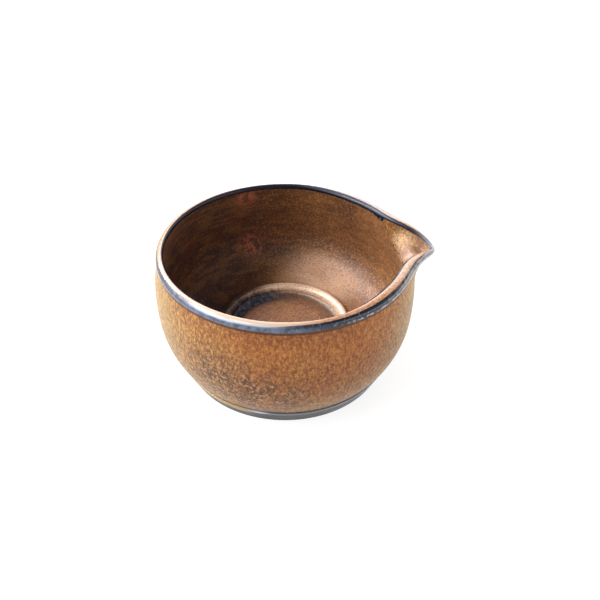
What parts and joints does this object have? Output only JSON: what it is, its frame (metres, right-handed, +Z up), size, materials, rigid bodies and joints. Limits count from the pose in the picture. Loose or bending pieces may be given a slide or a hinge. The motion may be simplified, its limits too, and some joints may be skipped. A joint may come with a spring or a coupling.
{
  "type": "yuzamashi",
  "caption": "Open glazed stoneware bowl for cooling boiled water before it goes on tea, with a drawn-out pouring spout, a sunk well in the floor and a foot ring.",
  "frame": {"origin": "centre of the bounding box's base, on the plane the foot stands on; the bowl's own turning axis stands 4.25 mm behind it, at x = -4.25 mm", "axes": "+X from the bowl's middle towards the spout's tip, +Y across the spout, +Z up"},
  "size_m": [0.1112, 0.1028, 0.0544],
  "materials": {
    "body_glaze": "bronze-brown glaze, semi-gloss, breaking to blue-black at edges",
    "spout_glaze": "lighter amber-bronze glaze, semi-gloss",
    "foot_clay": "fired slate-grey clay with a thin wash, satin"
  },
  "bodies": {
    "root": {"bowl": "body_glaze", "spout": "spout_glaze", "foot_ring": "foot_clay"}
  },
  "joints": []
}
